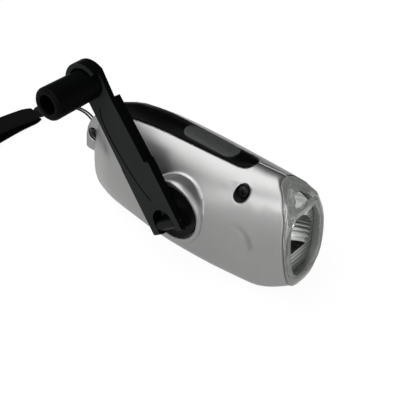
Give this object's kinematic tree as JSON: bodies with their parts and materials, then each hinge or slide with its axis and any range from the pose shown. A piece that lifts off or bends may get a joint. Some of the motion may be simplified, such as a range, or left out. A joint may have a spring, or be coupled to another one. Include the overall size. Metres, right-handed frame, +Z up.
{
  "type": "dynamo flashlight",
  "caption": "Hand-crank flashlight with a silver two-part body, clear nose lens over stacked lamps, folding crank arm with a turning knob, top push button and wrist strap.",
  "frame": {"origin": "middle of the flat foot under the body", "axes": "+X towards the lens, +Z up, crank on the -Y side"},
  "size_m": [0.1847, 0.0917, 0.0864],
  "materials": {
    "silver_paint": "satin silver paint on moulded plastic",
    "black_gloss": "gloss",
    "black_plastic": "satin",
    "grey_rubber": "matt",
    "clear_plastic": "clear polished",
    "chrome": "vacuum metallised mirror",
    "led_epoxy": "clear",
    "steel": "bright",
    "brass": "turned",
    "white_nylon": "moulded",
    "green_board": "solder mask",
    "copper_wire": "enamelled",
    "dark_ferrite": "sintered",
    "black_webbing": "woven"
  },
  "bodies": {
    "torch": {"crank_side_shell": "silver_paint", "far_side_shell": "silver_paint", "top_grip": "black_gloss", "lens": "clear_plastic", "reflector": "chrome", "led_upper": "led_epoxy", "led_middle": "led_epoxy", "led_lower": "led_epoxy", "led_board": "green_board", "main_board": "green_board", "tact_switch": "black_plastic", "battery_cell_1": "steel", "battery_cell_2": "steel", "battery_cell_3": "steel", "gear_plate_outer": "white_nylon", "gear_plate_inner": "white_nylon", "plate_screw_1": "steel", "plate_screw_2": "steel", "plate_screw_3": "steel", "plate_screw_4": "steel", "second_axle": "steel", "third_axle": "steel", "shaft_bush": "brass", "stator_can": "steel", "coil": "copper_wire", "shell_screw_front": "steel", "shell_screw_rear": "steel", "strap_cord": "black_webbing", "strap_sleeve": "black_plastic", "strap_webbing": "black_webbing"},
    "crank": {"crank_hub": "black_plastic", "crank_shaft": "steel", "drive_gear": "white_nylon", "retaining_clip": "steel", "hinge_pin": "steel"},
    "arm": {"crank_arm": "black_plastic", "knob_stud": "steel", "knob_screw": "steel"},
    "knob": {"crank_knob": "black_plastic"},
    "second": {"second_gear": "white_nylon"},
    "third": {"third_gear": "white_nylon"},
    "rotor": {"rotor_shaft": "steel", "rotor_pinion": "brass", "rotor_magnet": "dark_ferrite"},
    "button": {"switch_button": "grey_rubber"}
  },
  "joints": [
    {"name": "crank_spin", "type": "hinge", "parent": "torch", "child": "crank", "pos_m": [-0.0008, 0, 0.0275], "axis": [0, -1, 0], "continuous": true},
    {"name": "crank_fold", "type": "hinge", "parent": "crank", "child": "arm", "pos_m": [0.00106, -0.0283, 0.02515], "axis": [0.7848, 0, 0.6198], "range_deg": [0, 180]},
    {"name": "knob_spin", "type": "hinge", "parent": "arm", "child": "knob", "pos_m": [-0.04225, -0.031, 0.07644], "axis": [0, -1, 0], "continuous": true},
    {"name": "second_spin", "type": "hinge", "parent": "torch", "child": "second", "pos_m": [-0.01893, 0, 0.01905], "axis": [0, -1, 0], "continuous": true},
    {"name": "third_spin", "type": "hinge", "parent": "torch", "child": "third", "pos_m": [-0.03226, 0, 0.02262], "axis": [0, -1, 0], "continuous": true},
    {"name": "rotor_spin", "type": "hinge", "parent": "torch", "child": "rotor", "pos_m": [-0.04045, 0, 0.01688], "axis": [0, -1, 0], "continuous": true},
    {"name": "button_press", "type": "slide", "parent": "torch", "child": "button", "axis": [0, 0, -1], "range_m": [0, 0.001], "stiffness_N_per_m": 500}
  ],
  "couplings": [
    {"joint": "second_spin", "follows": "crank_spin", "ratio": -4},
    {"joint": "third_spin", "follows": "crank_spin", "ratio": 14.4},
    {"joint": "rotor_spin", "follows": "crank_spin", "ratio": -43.2}
  ]
}
